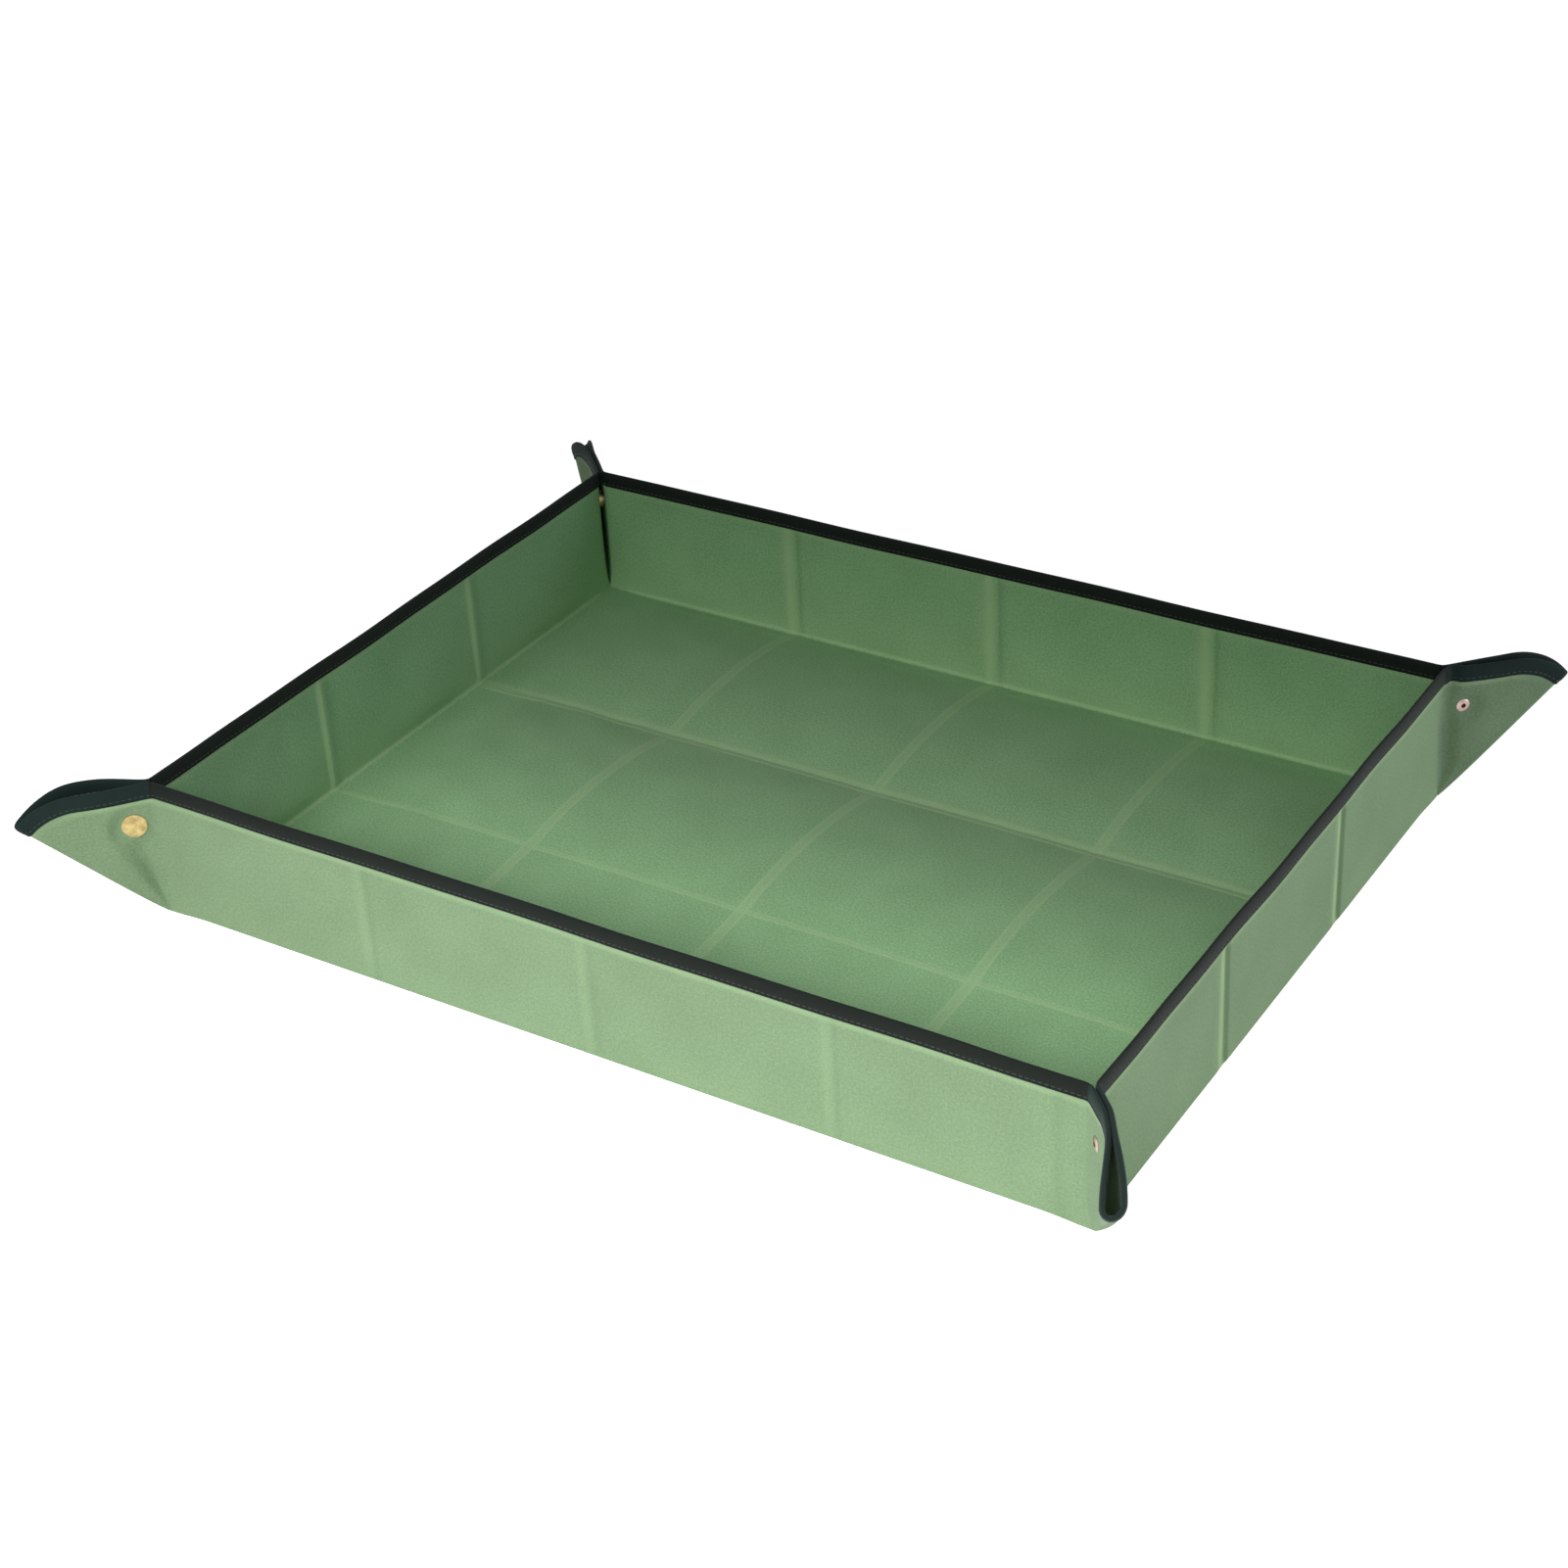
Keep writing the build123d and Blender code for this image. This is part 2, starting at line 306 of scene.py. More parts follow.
# Dark colour of painted shade beside some creases and beside the front wall's end fold.
CLOTH_PAINTED_SHADE = (0.085, 0.155, 0.070, 1.0)
TAPE_PLAIN = ((0.002, 0.004, 0.003, 1.0), (0.009, 0.014, 0.011, 1.0))
TAPE_EAR = ((0.004, 0.012, 0.010, 1.0), (0.012, 0.028, 0.024, 1.0))
THREAD = ((0.010, 0.016, 0.013, 1.0), (0.045, 0.055, 0.048, 1.0))
BRASS = ((0.34, 0.25, 0.10, 1.0), (0.59, 0.47, 0.215, 1.0))
PLATED = ((0.365, 0.263, 0.22, 1.0), (0.584, 0.453, 0.394, 1.0))

# Noise, as features per metre and detail, and the part of its range that is stretched to the whole.
NOISE_SPAN = (0.3, 0.7)
CLOUDS = (22.0, 4.0)
SPECKS = (700.0, 3.0)
WEAR = (60.0, 2.0)
FUZZ = (900.0, 3.0)
TWIST = (2500.0, 2.0)
TARNISH = (260.0, 4.0)
SCRATCHES = (3000.0, 2.0)

# Weaves: their pitch and their share beside the noise. Clouds have a share beside the specks too.
CLOUD_SHARE = 0.25
CLOTH_WEAVE = 0.9 * MM
CLOTH_WEAVE_SHARE = 0.35
TAPE_WEAVE = 1.3 * MM
TAPE_WEAVE_SHARE = 0.4

# Surfaces: range of roughness, strength and depth of the fine relief, and other settings.
WORN_SPAN = (0.45, 0.95)
CLOTH_ROUGH = (0.72, 0.9)
TAPE_ROUGH = (0.75, 0.95)
THREAD_ROUGH = (0.5, 0.7)
BRASS_ROUGH = (0.30, 0.48)
PLATED_ROUGH = (0.28, 0.46)
CLOTH_RELIEF = (0.35, 0.12 * MM)
TAPE_RELIEF = (0.6, 0.25 * MM)
METAL_RELIEF = (0.15, 0.05 * MM)
CLOTH_FINISH = {"Specular IOR Level": 0.12, "Sheen Weight": 0.08, "Sheen Roughness": 0.5}
TAPE_FINISH = {"Specular IOR Level": 0.2, "Sheen Weight": 0.06, "Sheen Roughness": 0.4}
METAL_FINISH = {"Metallic": 1.0}

# Stage: half its side, and its grey with the glow that makes it white to the camera.
STAGE_HALF = 12.0
STAGE_GREY = (0.82, 0.82, 0.82, 1.0)
STAGE_GLOW = 0.888
WORLD_STRENGTH = 0.14

# Lamps are tinted a little: greener from the back right, more violet low from the right.
SIDE_TINT = (0.93, 1.02, 0.82)
LOW_TINT = (1.0, 0.95, 1.30)

# Camera, fitted to the photograph.
VIEW_AZIMUTH = math.radians(33.65)
VIEW_ELEVATION = math.radians(31.464)
VIEW_ROLL = math.radians(-3.395)
VIEW_DISTANCE = 1.7921
VIEW_OFFSET = (0.0160, -0.04216)
VIEW_LENS = 67.39
VIEW_SENSOR = 36.0


# Shared shapes

def smooth(x):
    """Eases from 0 to 1."""
    x = np.clip(x, 0.0, 1.0)
    return x * x * (3 - 2 * x)


def hump(distance, centre, width):
    """Bell curve."""
    return np.exp(-(((distance - centre) / width) ** 2))


def spot(signed, mark):
    """Strength of a mark given as place, width and strength."""
    place, width, strength = mark
    return strength * hump(signed, place, width)


def bound_mark(depth):
    """1 where the binding covers the cloth, by the depth below its edge."""
    return smooth((BOUND_DEPTH - depth) / BOUND_SOFT)


def crease_places(count):
    """Places of the storage creases along a side of that many panels."""
    return [(i - count / 2) * PANEL for i in range(1, count)]


def nearest(place, creases):
    """Signed distance from the nearest crease."""
    away = np.array([place - crease for crease in creases])
    return np.take_along_axis(away, np.abs(away).argmin(axis=0)[None], axis=0)[0]


def crease_band(distance, half):
    """1 on the raised band of a crease, with soft edges."""
    return smooth((half + CREASE_SOFT - distance) / (2 * CREASE_SOFT))


def crease_rise(distance, half, rise):
    """Height of a pressed crease: a band with lips and grooves."""
    lip = LIP_SHARE * hump(distance, half, CREASE_SOFT)
    groove = GROOVE_SHARE * hump(distance, half + 2 * CREASE_SOFT, CREASE_SOFT)
    return rise * (crease_band(distance, half) + lip - groove)


def crease_mark(distance, half, mark):
    """How pale a crease is, from 0 to 1, most along the edges of its band: partly wear, partly painted
    highlight.
    """
    band = BAND_PALENESS * crease_band(distance, half)
    return mark * np.maximum(band, hump(distance, half, CREASE_SOFT))


def fold_height(signed, form):
    """Height of a fold: a flat top between two slopes."""
    rise, top, before, after = form
    slopes = np.minimum((signed + top + before) / before, (top + after - signed) / after)
    return rise * np.clip(slopes, 0, 1)


def stretch(place, edges):
    """Number of the stretch that a place lies in, and the share of the way along it."""
    number = np.clip(np.searchsorted(edges, place) - 1, 0, len(edges) - 2)
    edges = np.array(edges)
    return number, np.clip((place - edges[number]) / (edges[number + 1] - edges[number]), 0, 1)


def base_radius(room):
    """Radius of the bend along a base crease."""
    return BASE_BEND_AT_CORNER + (BASE_BEND - BASE_BEND_AT_CORNER) * smooth(room / BASE_BEND_TAPER)


def drawn_in(height):
    """Share by which wall and ear draw in to the corner: all at the base, a little at the rim."""
    at_base = np.exp(-np.maximum(height, 0) / APEX_REACH)
    return at_base + RIM_PINCH * smooth((height - PINCH_FROM) / PINCH_OVER)


def corner_setback(height):
    """How far the corner line stands back from the base corner."""
    return CORNER_SETBACK * (1 - drawn_in(height))


def corner_radius(height):
    """Radius of the bend from wall to ear."""
    return EAR_BEND * (1 - np.exp(-np.maximum(height, 0) / EAR_BEND_TAPER)) + TINY


def graded(stretches):
    """Numbers along stretches that follow on from each other."""
    parts = [np.linspace(start, end, count, endpoint=False) for start, end, count in stretches]
    return np.append(np.concatenate(parts), stretches[-1][1])


def grid_lines(half, creases):
    """Grid places, close together across the creases and at the ends."""
    even = np.linspace(-half + END_FINE, half - END_FINE, round(2 * half / STEP))
    even = even[np.abs(nearest(even, creases)) > FINE_HALF + STEP / 2]
    fine = np.arange(-FINE_HALF, FINE_HALF + TINY, FINE_STEP)
    ends = np.arange(0, END_FINE, END_STEP)
    return np.sort(np.concatenate([even, *[crease + fine for crease in creases], half - ends, ends - half]))


def normals_of(surface, first, second, first_step=NUDGE, second_step=NUDGE):
    """Normals of a surface given as a function of two parameters."""
    across = surface(first + first_step, second) - surface(first - first_step, second)
    upward = surface(first, second + second_step) - surface(first, second - second_step)
    normal = np.cross(across, upward)
    return normal / np.linalg.norm(normal, axis=-1, keepdims=True)


def run_along(line):
    """Length along a line of points, at each of them."""
    return np.concatenate([[0.0], np.cumsum(np.linalg.norm(np.diff(line, axis=0), axis=-1))])


def circle(sides, first, second):
    """Directions round a circle, from two axes."""
    turn = np.arange(sides) * 2 * math.pi / sides
    return np.outer(np.cos(turn), first) + np.outer(np.sin(turn), second)


# Floor

def floor_arch(x, y):
    """Height of the arched bands."""
    side = HALF_WIDTH - BASE_BEND
    front_crease, back_crease = crease_places(PANELS_WIDE)
    band, share = stretch(y, [-side, front_crease, back_crease, side])
    arch = np.array(BAND_ARCH)[band] * 4 * share * (1 - share)
    before = np.clip(1 - (front_crease - y) / FRONT_LIFT_RUN, 0, 1) ** 2
    lift = FRONT_LIFT * np.where(y < front_crease, before, np.clip((back_crease - y) / PANEL, 0, 1))
    along = (x / PANEL + PANELS_LONG / 2) % 1 * 2 - 1
    off_side = smooth((side - np.abs(y)) / CROSS_SIDE)
    cross = CROSS_ARCH * (1 - along**2) * off_side
    waves = sum(np.sin(along_x * x + along_y * y + start) for along_x, along_y, start in RIPPLE_WAVES)
    ripple = RIPPLE * waves * smooth((-x - RIPPLE_FROM) / RIPPLE_OVER) * off_side
    return (arch + lift + cross + ripple) * smooth((HALF_LENGTH - BASE_BEND - np.abs(x)) / ARCH_END)


def floor_creases(x, y):
    """Rise and paleness of the floor's creases, the paleness partly wear and partly painted highlight."""
    away = [nearest(x, crease_places(PANELS_LONG)), *[y - place for place in crease_places(PANELS_WIDE)]]
    creases = list(zip(np.abs(away), (CROSS_CREASE, *LONG_CREASES)))
    rises = [crease_rise(distance, half, rise) for distance, (half, rise, _) in creases]
    marks = [crease_mark(distance, half, mark) for distance, (half, _, mark) in creases]
    fade = smooth(np.minimum(HALF_LENGTH - np.abs(x), HALF_WIDTH - np.abs(y)) / CREASE_FADE)
    return np.max(rises, axis=0) * fade, np.max(marks, axis=0) * fade


def floor_surface(x, y):
    """Middle of the floor's sheet."""
    inner_x = x * (1 - base_radius(HALF_WIDTH - np.abs(y)) / HALF_LENGTH)
    inner_y = y * (1 - base_radius(HALF_LENGTH - np.abs(x)) / HALF_WIDTH)
    rise, _ = floor_creases(inner_x, inner_y)
    return np.stack([inner_x, inner_y, CREASE_Z + floor_arch(inner_x, inner_y) + rise], axis=-1)


# Walls

def wall_reach(wall):
    """Half the length of a wall's base crease."""
    return HALF_LENGTH if wall in LONG_WALLS else HALF_WIDTH


def wall_creases(wall):
    """Places of the storage creases along a wall."""
    return crease_places(PANELS_LONG if wall in LONG_WALLS else PANELS_WIDE)


def wall_axes(wall):
    """Directions outward from a wall and along it, to the right seen from outside."""
    outward = np.array([*OUTWARD[wall], 0.0])
    return outward, np.array([-outward[1], outward[0], 0.0])


def wall_wave(wall, share, height):
    """Slow waves of a wall's upper edge."""
    phase = list(OUTWARD).index(wall)
    swell = sum(size * np.sin(turns * share + shift * phase) for size, turns, shift in WALL_WAVES)
    return WAVE_HEIGHT * swell * smooth(height / SHEET_TOP)


def wall_swell(wall, place, height):
    """How far a wall's panels swell inward, crested to the back on the short walls."""
    reach = wall_reach(wall) - 2 * TAPE_WIDTH
    edges = [-reach, *wall_creases(wall), reach]
    _, share = stretch(-place if wall == "left" else place, edges)
    swell = WALL_SWELL[wall] * np.sin(math.pi * share**SWELL_SKEW)
    above = smooth((height - WALL_SWELL_FROM) / WALL_SWELL_OVER)
    return swell * smooth(height / WALL_SWELL_FROM) * (1 - above)


def wall_fold(wall, place, height):
    """How far a wall's creases and the front wall's end fold stand inward."""
    below_tape = SHEET_TOP - TAPE_WIDTH - height
    fade = smooth(height / WALL_CREASE_FADE) * smooth(below_tape / WALL_CREASE_FADE)
    crease = fold_height(nearest(place, wall_creases(wall)), WALL_CREASES[wall]["form"]) * fade
    if wall == "front":
        crease = crease + fold_height(place - HALF_LENGTH + END_FOLD_FROM_CORNER, END_FOLD) * fade
    return crease


def wall_height(place, climb, reach):
    """Height and inset on a wall; climb is 0 at the floor, 1 above the base bend and 2 at the top edge."""
    radius = base_radius(reach - np.abs(place))
    turn = np.minimum(climb, 1) * QUARTER
    height = radius * (1 - np.cos(turn)) + np.maximum(climb - 1, 0) * (SHEET_TOP - radius)
    return height, radius * (1 - np.sin(turn))


def wall_surface(wall):
    """Middle of a wall's sheet, by the place along it and climb."""
    outward, along = wall_axes(wall)
    base = joint_place(f"{wall}_wall_fold")
    reach = wall_reach(wall)

    def surface(place, climb):
        room = reach - np.abs(place)
        height, inset = wall_height(place, climb, reach)
        line = reach - corner_setback(height)
        reached = np.abs(place) - corner_setback(height) * smooth(1 - room / END_SHIFT)
        bend = corner_radius(height)
        tangent = bend * math.tan(HALF_TURN)
        angle = HALF_TURN * np.clip(1 - (line - reached) / tangent, 0, MOST_TURN)
        reached = np.where(angle > 0, line - tangent + bend * np.sin(angle), reached)
        inset = inset + np.where(room < -TINY, CORNER_LIP_INSET, 0.0)
        wave = wall_wave(wall, place / reach, height) * smooth(room / WAVE_END)
        inward = wall_fold(wall, place, height) + wall_swell(wall, place, height)
        out = bend * (1 - np.cos(angle)) - inset + wave - inward
        shift = np.sign(place) * reached
        return base + along * shift[..., None] + outward * out[..., None] + UP * height[..., None]

    return surface


def wall_edge_surface(wall):
    """The same surface, by the place along it and the depth below its top edge."""
    surface = wall_surface(wall)
    reach = wall_reach(wall)

    def below(place, depth):
        radius = base_radius(reach - np.abs(place))
        return surface(place, 2 - depth / (SHEET_TOP - radius))

    return below


# Ears

def loop_radius(ray, growth):
    """Radius of the loop of cloth at the fold."""
    wanted = EAR_OFFSET * (1 - np.exp(-ray / LOOP_START)) + growth * ray
    return np.minimum(wanted, LOOP_SHARE * FOLD_ANGLE * ray)


def ear_shape(corner, wall):
    """Shape of an ear half."""
    is_eyelet = EYELET_HALF[corner] == wall
    return {
        **EAR_SHAPES[corner],
        "bulge": EAR_BULGE.get((corner, wall), 0.0),
        "dent": EAR_DENT.get((corner, wall), (0.0, CAP_SEAT, SHEET_TOP)),
        "seat": EYELET_SEAT if is_eyelet else CAP_SEAT,
    }


def ear_relief(run, straight, ray, shape):
    """How far an ear half is pressed in beside its corner line, less how far it bulges out."""
    angle = run / ray
    from_snap = np.hypot(ray * np.sin(angle) - SNAP_OUT, ray * np.cos(angle) - SNAP_UP)
    seat = smooth((from_snap - shape["seat"]) / SEAT_OVER)
    along = np.clip(run / straight, 0, 1)
    belly = shape["bulge"] * np.sin(math.pi * along) ** BELLY_POWER * smooth((ray - BELLY_FROM) / BELLY_OVER)
    depth, width, top = shape["dent"]
    across = np.clip(run / np.minimum(width, DENT_SHARE * ray), 0, 1)
    up_to_top = smooth(ray / DENT_RISE) * (1 - smooth((ray - top) / DENT_FADE))
    dent = depth * np.sin(math.pi * across) ** 2 * up_to_top
    return (dent - belly) * seat


def ear_section(share, ray, shape):
    """Angle from the corner line and offset to the middle, at a share of the way to the fold."""
    radius = loop_radius(ray, shape["growth"])
    straight = ray * (FOLD_ANGLE + math.radians(shape["turn"])) - radius
    run = share * (straight + radius * QUARTER)
    turn = np.maximum(run - straight, 0) / radius
    out = np.where(run < straight, run, straight + radius * np.sin(turn))
    flat = np.minimum(FLAT_ANGLE * ray, straight / 2)
    ease = smooth((run - flat) / (straight - flat))
    near = EAR_OFFSET * drawn_in(ray)
    side = near * (1 - ease) + (EAR_OFFSET - radius) * ease + ear_relief(run, straight, ray, shape)
    offset = np.where(run < straight, side, EAR_OFFSET - radius * np.cos(turn))
    bend = corner_radius(ray)
    tangent = bend * math.tan(HALF_TURN)
    angle = HALF_TURN * np.maximum(1 - out / tangent, 0)
    out = np.where(angle > 0, tangent - bend * np.sin(angle), out)
    return out / ray, offset - bend * (1 - np.cos(angle))


def ear_place(angle, ray):
    """Place in the ear's plane: out from the corner line, and up from the base crease."""
    share = angle / FOLD_ANGLE
    settle = np.exp(-ray / APEX_REACH)
    near = EAR_OFFSET * drawn_in(ray) * (1 - share)
    shift = near + (CORNER_SETBACK - (CORNER_SETBACK - EAR_OFFSET) * settle) * share
    return shift + ray * np.sin(angle), ray * np.cos(angle)


def ear_edge(share, shape):
    """Ray from the base corner to the outer edge, and how much longer it is than its depth there."""
    ray = np.full(np.shape(share), SHEET_TOP)
    for _ in range(EDGE_ROUNDS):
        angle, _ = ear_section(share, ray, shape)
        shift = ROUND_OUT - CORNER_SETBACK * angle / FOLD_ANGLE
        sine, cosine = np.sin(angle), np.cos(angle)
        level = SHEET_TOP / cosine
        cross = shift * cosine - ROUND_UP * sine
        rounded = shift * sine + ROUND_UP * cosine + np.sqrt(ROUND_RADIUS**2 - cross**2)
        is_level = level * sine < shift
        ray = np.where(is_level, level, rounded)
    facing = ((ray * sine - shift) * sine + (ray * cosine - ROUND_UP) * cosine) / ROUND_RADIUS
    return ray, 1 / np.where(is_level, cosine, facing)


def ear_axes(corner, wall):
    """Directions out along an ear, and from this half towards the middle of the ear."""
    sx, sy = CORNERS[corner]
    side = 1 if wall in LONG_WALLS else -1
    return np.array([sx, sy, 0.0]) / ROOT2, np.array([sx, -sy, 0.0]) / ROOT2 * side


def ear_surface(corner, wall):
    """Middle of an ear half's sheet, by the share of the way to the fold and the ray."""
    shape = ear_shape(corner, wall)
    hinge = joint_place(f"{corner}_ear_{wall}_fold")
    out_axis, inner_axis = ear_axes(corner, wall)
    sway_axis = ear_axes(corner, "front")[1]

    def surface(share, ray):
        angle, offset = ear_section(share, ray, shape)
        out, up = ear_place(angle, ray)
        sway = shape["sway"] * (np.maximum(out - SWAY_FROM, 0) / SWAY_OVER) ** SWAY_POWER
        plane = out_axis * out[..., None] + UP * up[..., None]
        return hinge + plane + inner_axis * offset[..., None] + sway_axis * sway[..., None]

    return surface


def ear_edge_surface(corner, wall):
    """The same surface, by the share of the way to the fold and the depth below its edge."""
    surface = ear_surface(corner, wall)
    shape = ear_shape(corner, wall)

    def below(share, depth):
        edge, slant = ear_edge(share, shape)
        return surface(share, edge - depth * slant)

    return below


# Meshes

def add_object(name, data):
    """New object in the scene."""
    made = bpy.data.objects.new(name, data)
    bpy.context.scene.collection.objects.link(made)
    return made


def new_piece(name, points, faces, material, marks=None, sharp=SHARP_ANGLE):
    """Mesh object from points and faces, with point attributes."""
    mesh = bpy.data.meshes.new(name)
    mesh.from_pydata(np.asarray(points).reshape(-1, 3).tolist(), [], [list(map(int, face)) for face in faces])
    mesh.polygons.foreach_set("use_smooth", np.ones(len(mesh.polygons), bool))
    mesh.set_sharp_from_angle(angle=sharp)
    for mark, values in (marks or {}).items():
        kind, field = ("FLOAT_VECTOR", "vector") if mark == "flat" else ("FLOAT", "value")
        layer = mesh.attributes.new(mark, kind, "POINT")
        layer.data.foreach_set(field, values.astype(np.float32).ravel())
    mesh.materials.append(material)
    return add_object(name, mesh)


def grid_faces(rows, columns):
    """Quads of a grid of points."""
    index = np.arange(rows * columns).reshape(rows, columns)
    return np.stack([index[:-1, :-1], index[1:, :-1], index[1:, 1:], index[:-1, 1:]], axis=-1).reshape(-1, 4)


def tube_faces(start, rings, sides):
    """Faces of a tube of rings of points, and of its two ends."""
    index = start + np.arange(rings * sides).reshape(rings, sides)
    after = np.roll(index, -1, axis=1)
    walls = np.stack([index[:-1], after[:-1], after[1:], index[1:]], axis=-1).reshape(-1, 4)
    return [*walls.tolist(), index[0, ::-1].tolist(), index[-1].tolist()]


def border(rows, columns):
    """Indices round the edge of a grid of points."""
    index = np.arange(rows * columns).reshape(rows, columns)
    return np.concatenate([index[:-1, 0], index[-1, :-1], index[:0:-1, -1], index[0, :0:-1]])


def sheet_piece(name, points, normals, material, marks, inside):
    """Closed sheet of cloth around a grid of points, its inside along or against the normals."""
    rows, columns = points.shape[:2]
    count = rows * columns
    both = np.concatenate([(points + side * normals * SHEET / 2).reshape(-1, 3) for side in (1, -1)])
    upper = grid_faces(rows, columns)
    edge = border(rows, columns)
    after = np.roll(edge, -1)
    rim = np.stack([after, edge, edge + count, after + count], axis=-1)
    faces = np.concatenate([upper, upper[:, ::-1] + count, rim])
    doubled = {mark: np.tile(values.ravel(), 2) for mark, values in marks.items()}
    doubled["inside"] = np.repeat([inside > 0, inside < 0], count)
    return new_piece(name, both, faces, material, doubled)


def hole_cutter(centre, axis, radius):
    """Round bar that cuts a hole."""
    side = np.cross(axis, UP)
    ring = centre + circle(HOLE_SIDES, side, np.cross(axis, side)) * radius
    points = np.concatenate([ring + axis * reach for reach in (-HOLE_REACH, HOLE_REACH)])
    mesh = bpy.data.meshes.new("hole")
    mesh.from_pydata(points.tolist(), [], tube_faces(0, 2, HOLE_SIDES))
    return add_object("hole", mesh)


def cut_hole(piece, centre, axis, radius):
    """Cuts a round hole through a sheet."""
    cutter = hole_cutter(centre, axis, radius)
    cut = piece.modifiers.new("hole", "BOOLEAN")
    cut.object = cutter
    cut.operation = "DIFFERENCE"
    cut.solver = "EXACT"
    bpy.context.view_layer.update()
    whole = piece.evaluated_get(bpy.context.evaluated_depsgraph_get())
    piece.data = bpy.data.meshes.new_from_object(whole)
    piece.modifiers.clear()
    bpy.data.objects.remove(cutter)


def tape_outline():
    """Closed section of the binding, as depth and height off the sheet's middle."""
    mirrored = [(depth, -height) for depth, height in reversed(TAPE_SECTION)]
    inside = [
        (TAPE_WIDTH, -TAPE_INSIDE),
        (TAPE_INSIDE, -TAPE_INSIDE),
        (TAPE_INSIDE, TAPE_INSIDE),
        (TAPE_WIDTH, TAPE_INSIDE),
    ]
    return np.array(TAPE_SECTION + [(TAPE_TOP, 0.0)] + mirrored + inside)


def tape_piece(name, below, stations, first_step, material, ear):
    """Binding swept along an edge, a surface of station and depth; ear is 1 on an ear."""
    section = tape_outline()
    station, depth = np.meshgrid(stations, section[:, 0], indexing="ij")
    normals = normals_of(below, station, depth, first_step)
    points = below(station, depth) + normals * section[:, 1][None, :, None]
    rows, columns = station.shape
    ring, place = np.divmod(grid_faces(rows, columns + 1), columns + 1)
    faces = ring * columns + place % columns
    caps = [np.arange(columns), np.arange(columns)[::-1] + (rows - 1) * columns]
    across = np.cumsum(np.linalg.norm(np.diff(points, axis=1, prepend=points[:, :1]), axis=-1), axis=1)
    length = np.broadcast_to(run_along(points[:, 0])[:, None], across.shape)
    flat = np.stack([length, across, 0 * across], axis=-1)
    marks = {"flat": flat, "ear": np.full(rows * columns, ear)}
    return new_piece(name, points, [*faces, *caps], material, marks)


def stitch_places(below, stations):
    """Even places along an edge, one for each stitch."""
    dense = np.linspace(stations[0], stations[-1], STITCH_SAMPLES * len(stations))
    run = run_along(below(dense, np.full_like(dense, STITCH_DEPTH)))
    count = int(run[-1] / STITCH_PITCH)
    return np.interp((np.arange(count) + 0.5) * run[-1] / count, run, dense)


def stitch_rings(centre, tangent, cross, normal, face):
    """Rings of points of one stitch, whose ends dip into the binding."""
    ring = circle(STITCH_SIDES, cross, normal)
    rings = []
    for reach, share in STITCH_RINGS:
        dip = STITCH_HALF * (1 - share) * face
        middle = centre + tangent * reach * STITCH_LENGTH / 2 - normal * dip
        rings.append(middle + ring * STITCH_HALF * share)
    return rings


def stitch_piece(name, below, stations, first_step, material):
    """Row of stitches on both faces of a binding."""
    places = stitch_places(below, stations)
    depth = np.full_like(places, STITCH_DEPTH)
    normals = normals_of(below, places, depth, first_step)
    along = below(places + first_step, depth) - below(places - first_step, depth)
    along /= np.linalg.norm(along, axis=-1, keepdims=True)
    across = np.cross(normals, along)
    rings, faces = [], []
    for face in (1, -1):
        middle = below(places, depth) + normals * STITCH_HEIGHT * face
        for centre, tangent, cross, normal in zip(middle, along, across, normals):
            faces += tube_faces(len(rings) * STITCH_SIDES, len(STITCH_RINGS), STITCH_SIDES)
            rings += stitch_rings(centre, tangent, cross, normal, face)
    return new_piece(name, np.concatenate(rings), faces, material, sharp=ALL_SMOOTH)


# Materials

def node_adder(tree):
    """Function that adds a node to a tree, with its values set or linked."""
    def add(kind, values=None, **options):
        node = tree.nodes.new(f"ShaderNode{kind}")
        for option, value in options.items():
            setattr(node, option, value)
        for socket, value in (values or {}).items():
            fill(node.inputs[socket], value)
        return node

    return add


def fill(socket, value):
    """Links a socket to another one, or sets its value."""
    if isinstance(value, bpy.types.NodeSocket):
        socket.id_data.links.new(value, socket)
    else:
        socket.default_value = value


def new_material(name):
    """New material, its shader and a function that adds nodes to it."""
    material = bpy.data.materials.new(name)
    material.use_nodes = True
    return material, material.node_tree.nodes["Principled BSDF"], node_adder(material.node_tree)


def dress(shader, colour, roughness, finish):
    """Sets a shader's colour and roughness, and the rest of its finish by name."""
    for socket, value in {"Base Color": colour, "Roughness": roughness, **finish}.items():
        fill(shader.inputs[socket], value)


def add_relief(add, shader, height, relief):
    """Fine relief of a surface, by its strength and depth."""
    strength, depth = relief
    bump = add("Bump", {"Height": height, "Strength": strength, "Distance": depth})
    fill(shader.inputs["Normal"], bump.outputs["Normal"])


def colour_mix(add, first, second, factor):
    """Mix of two colours."""
    node = add("Mix", data_type="RGBA")
    for name, kind, value in (("Factor", "VALUE", factor), ("A", "RGBA", first), ("B", "RGBA", second)):
        fill([socket for socket in node.inputs if (socket.name, socket.type) == (name, kind)][0], value)
    return [socket for socket in node.outputs if socket.type == "RGBA"][0]


def scaled(add, value, low, high, from_low=0.0, from_high=1.0):
    """Value carried from one range to another."""
    ends = {"From Min": from_low, "From Max": from_high, "To Min": low, "To Max": high}
    return add("MapRange", {"Value": value, **ends}).outputs["Result"]


def math_node(add, operation, first, second=0.0):
    """Result of an operation on one or two values."""
    return add("Math", {0: first, 1: second}, operation=operation).outputs["Value"]


def shared(add, first, second, share):
    """Sum of two values, of which the first counts for a share."""
    parts = [math_node(add, "MULTIPLY", first, share), math_node(add, "MULTIPLY", second, 1 - share)]
    return math_node(add, "ADD", *parts)


def noise(add, vector, scale, detail):
    """Noise between 0 and 1, scale in features per metre."""
    return add("TexNoise", {"Vector": vector, "Scale": scale, "Detail": detail}).outputs["Fac"]


